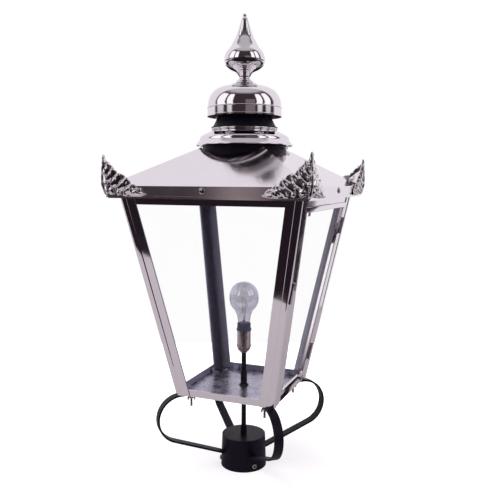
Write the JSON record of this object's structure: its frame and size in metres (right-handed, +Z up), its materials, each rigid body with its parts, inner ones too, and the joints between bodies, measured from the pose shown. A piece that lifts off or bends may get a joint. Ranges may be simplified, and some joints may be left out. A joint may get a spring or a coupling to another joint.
{
  "type": "post top lantern",
  "caption": "Square tapered lantern with a glazed door, pyramid roof, domed vent crown and finial, carried on bent straps above a round post socket.",
  "frame": {"origin": "centre of the underside of the post socket, the level that it rests on", "axes": "+Z up along the stem, the front of the lantern faces -Y and the glazed door faces +X"},
  "size_m": [0.4112, 0.4112, 0.931],
  "materials": {
    "polished_sheet": "mirror polished nickel plated sheet steel",
    "polished_casting": "mirror polished nickel plated cast aluminium",
    "polished_steel": "polished nickel plated turned steel",
    "zinc_steel": "bright zinc plated steel",
    "black_steel": "satin black powder coat on steel",
    "clear_glass": "clear float glass",
    "brass_contact": "plain brass",
    "black_rubber": "matte black rubber",
    "lamp_insulator": "black heat proof moulding",
    "filament_wire": "wire and pressed glass mount"
  },
  "bodies": {
    "lantern": {"base_frame": "polished_sheet", "bridge_bar": "polished_steel", "chimney_skirt": "polished_sheet", "corner_ornament_back_left": "polished_casting", "corner_ornament_back_right": "polished_casting", "corner_ornament_front_left": "polished_casting", "corner_ornament_front_right": "polished_casting", "corner_post_back_left": "polished_sheet", "corner_post_back_right": "polished_sheet", "corner_post_front_left": "polished_sheet", "corner_post_front_right": "polished_sheet", "crown_dome": "polished_sheet", "crown_spacer": "polished_steel", "door_stop": "polished_sheet", "fascia_screws": "polished_steel", "finial": "polished_casting", "floor_grommet": "black_rubber", "floor_pan": "polished_sheet", "glass_back": "clear_glass", "glass_front": "clear_glass", "glass_left": "clear_glass", "glazing_clips": "polished_sheet", "hinge_pins": "polished_steel", "hinge_post_leaves": "polished_sheet", "lamp_contacts": "brass_contact", "lampholder_barrel": "polished_sheet", "lampholder_cap": "polished_sheet", "lampholder_insulator": "lamp_insulator", "latch_pivot": "polished_steel", "leg_bolts": "zinc_steel", "leg_strap_back_left": "black_steel", "leg_strap_back_right": "black_steel", "leg_strap_front_left": "black_steel", "leg_strap_front_right": "black_steel", "leg_washers": "zinc_steel", "post_socket": "black_steel", "roof_collar": "black_steel", "roof_shell": "polished_sheet", "shade_ring": "lamp_insulator", "socket_set_screws": "zinc_steel", "stem_collar": "black_steel", "stem_jam_nut": "black_steel", "stem_sleeve": "black_steel", "stem_tube": "black_steel", "tie_rod": "polished_steel", "tie_rod_nut": "polished_steel", "top_frame": "polished_sheet", "vent_gallery": "black_steel"},
    "door": {"door_frame": "polished_sheet", "door_glass": "clear_glass", "door_glass_clips": "polished_sheet", "hinge_door_leaves": "polished_sheet"},
    "latch": {"latch_bar": "polished_steel"},
    "lamp": {"bulb_glass": "clear_glass", "bulb_cap": "polished_steel", "bulb_filament": "filament_wire"},
    "nut_front_right": {"wing_nut_front_right": "zinc_steel"},
    "nut_back_right": {"wing_nut_back_right": "zinc_steel"},
    "nut_back_left": {"wing_nut_back_left": "zinc_steel"},
    "nut_front_left": {"wing_nut_front_left": "zinc_steel"}
  },
  "joints": [
    {"name": "door_hinge", "type": "hinge", "parent": "lantern", "child": "door", "pos_m": [0.14495, 0.11185, 0.37], "axis": [0.182, 0.182, 0.9663], "range_deg": [0, 110]},
    {"name": "latch_turn", "type": "hinge", "parent": "lantern", "child": "latch", "pos_m": [0.1522, -0.1412, 0.4175], "axis": [0.9827, 0, -0.185], "range_deg": [0, 90]},
    {"name": "wing_nut_front_right_turn", "type": "hinge", "parent": "lantern", "child": "nut_front_right", "pos_m": [0.07843, -0.08411, 0.16], "axis": [0, 0, 1], "continuous": true},
    {"name": "wing_nut_back_right_turn", "type": "hinge", "parent": "lantern", "child": "nut_back_right", "pos_m": [0.08411, 0.07843, 0.16], "axis": [0, 0, 1], "continuous": true},
    {"name": "wing_nut_back_left_turn", "type": "hinge", "parent": "lantern", "child": "nut_back_left", "pos_m": [-0.07843, 0.08411, 0.16], "axis": [0, 0, 1], "continuous": true},
    {"name": "wing_nut_front_left_turn", "type": "hinge", "parent": "lantern", "child": "nut_front_left", "pos_m": [-0.08411, -0.07843, 0.16], "axis": [0, 0, 1], "continuous": true},
    {"name": "lamp_twist", "type": "hinge", "parent": "lantern", "child": "lamp", "pos_m": [0, 0, 0.29], "axis": [0, 0, 1], "range_deg": [-15, 0]}
  ]
}
